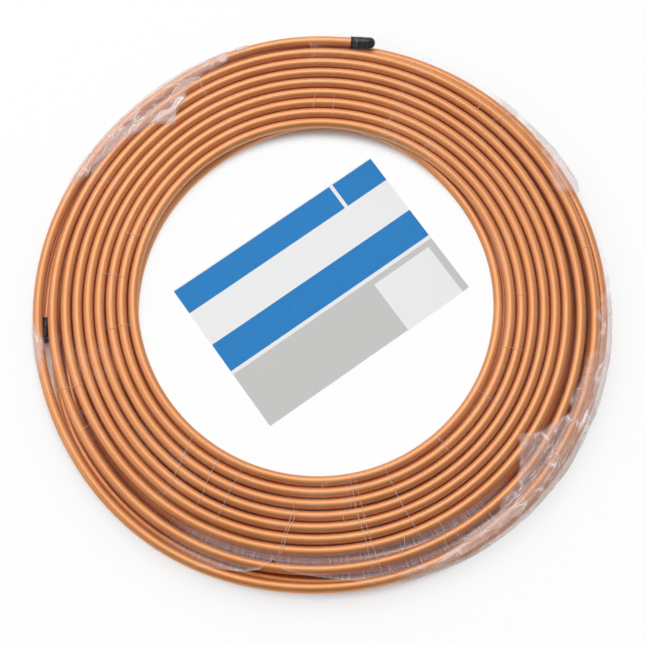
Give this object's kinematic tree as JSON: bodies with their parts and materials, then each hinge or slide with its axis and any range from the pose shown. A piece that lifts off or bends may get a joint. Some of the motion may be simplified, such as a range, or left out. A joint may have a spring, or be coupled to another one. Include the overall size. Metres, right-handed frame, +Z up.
{
  "type": "copper tube coil",
  "caption": "Flat coil of soft copper tube wound from one length in two layers, its ends capped, with a plain card in its bore, sealed in clear shrink film.",
  "frame": {"origin": "centre of the film's flat underside, under the centre of the coil's last turn", "axes": "+Z up, along the coil's axis; +X within 3 degrees of the upper free end, the way its cap points"},
  "size_m": [0.3589, 0.359, 0.0153],
  "materials": {
    "copper": null,
    "cap_plastic": "soft black vinyl",
    "card": "coated printed card",
    "film": "clear glossy shrink film"
  },
  "bodies": {
    "root": {"copper_tube": "copper", "upper_end_cap": "cap_plastic", "lower_end_cap": "cap_plastic", "label_card": "card", "shrink_film": "film"}
  },
  "joints": []
}
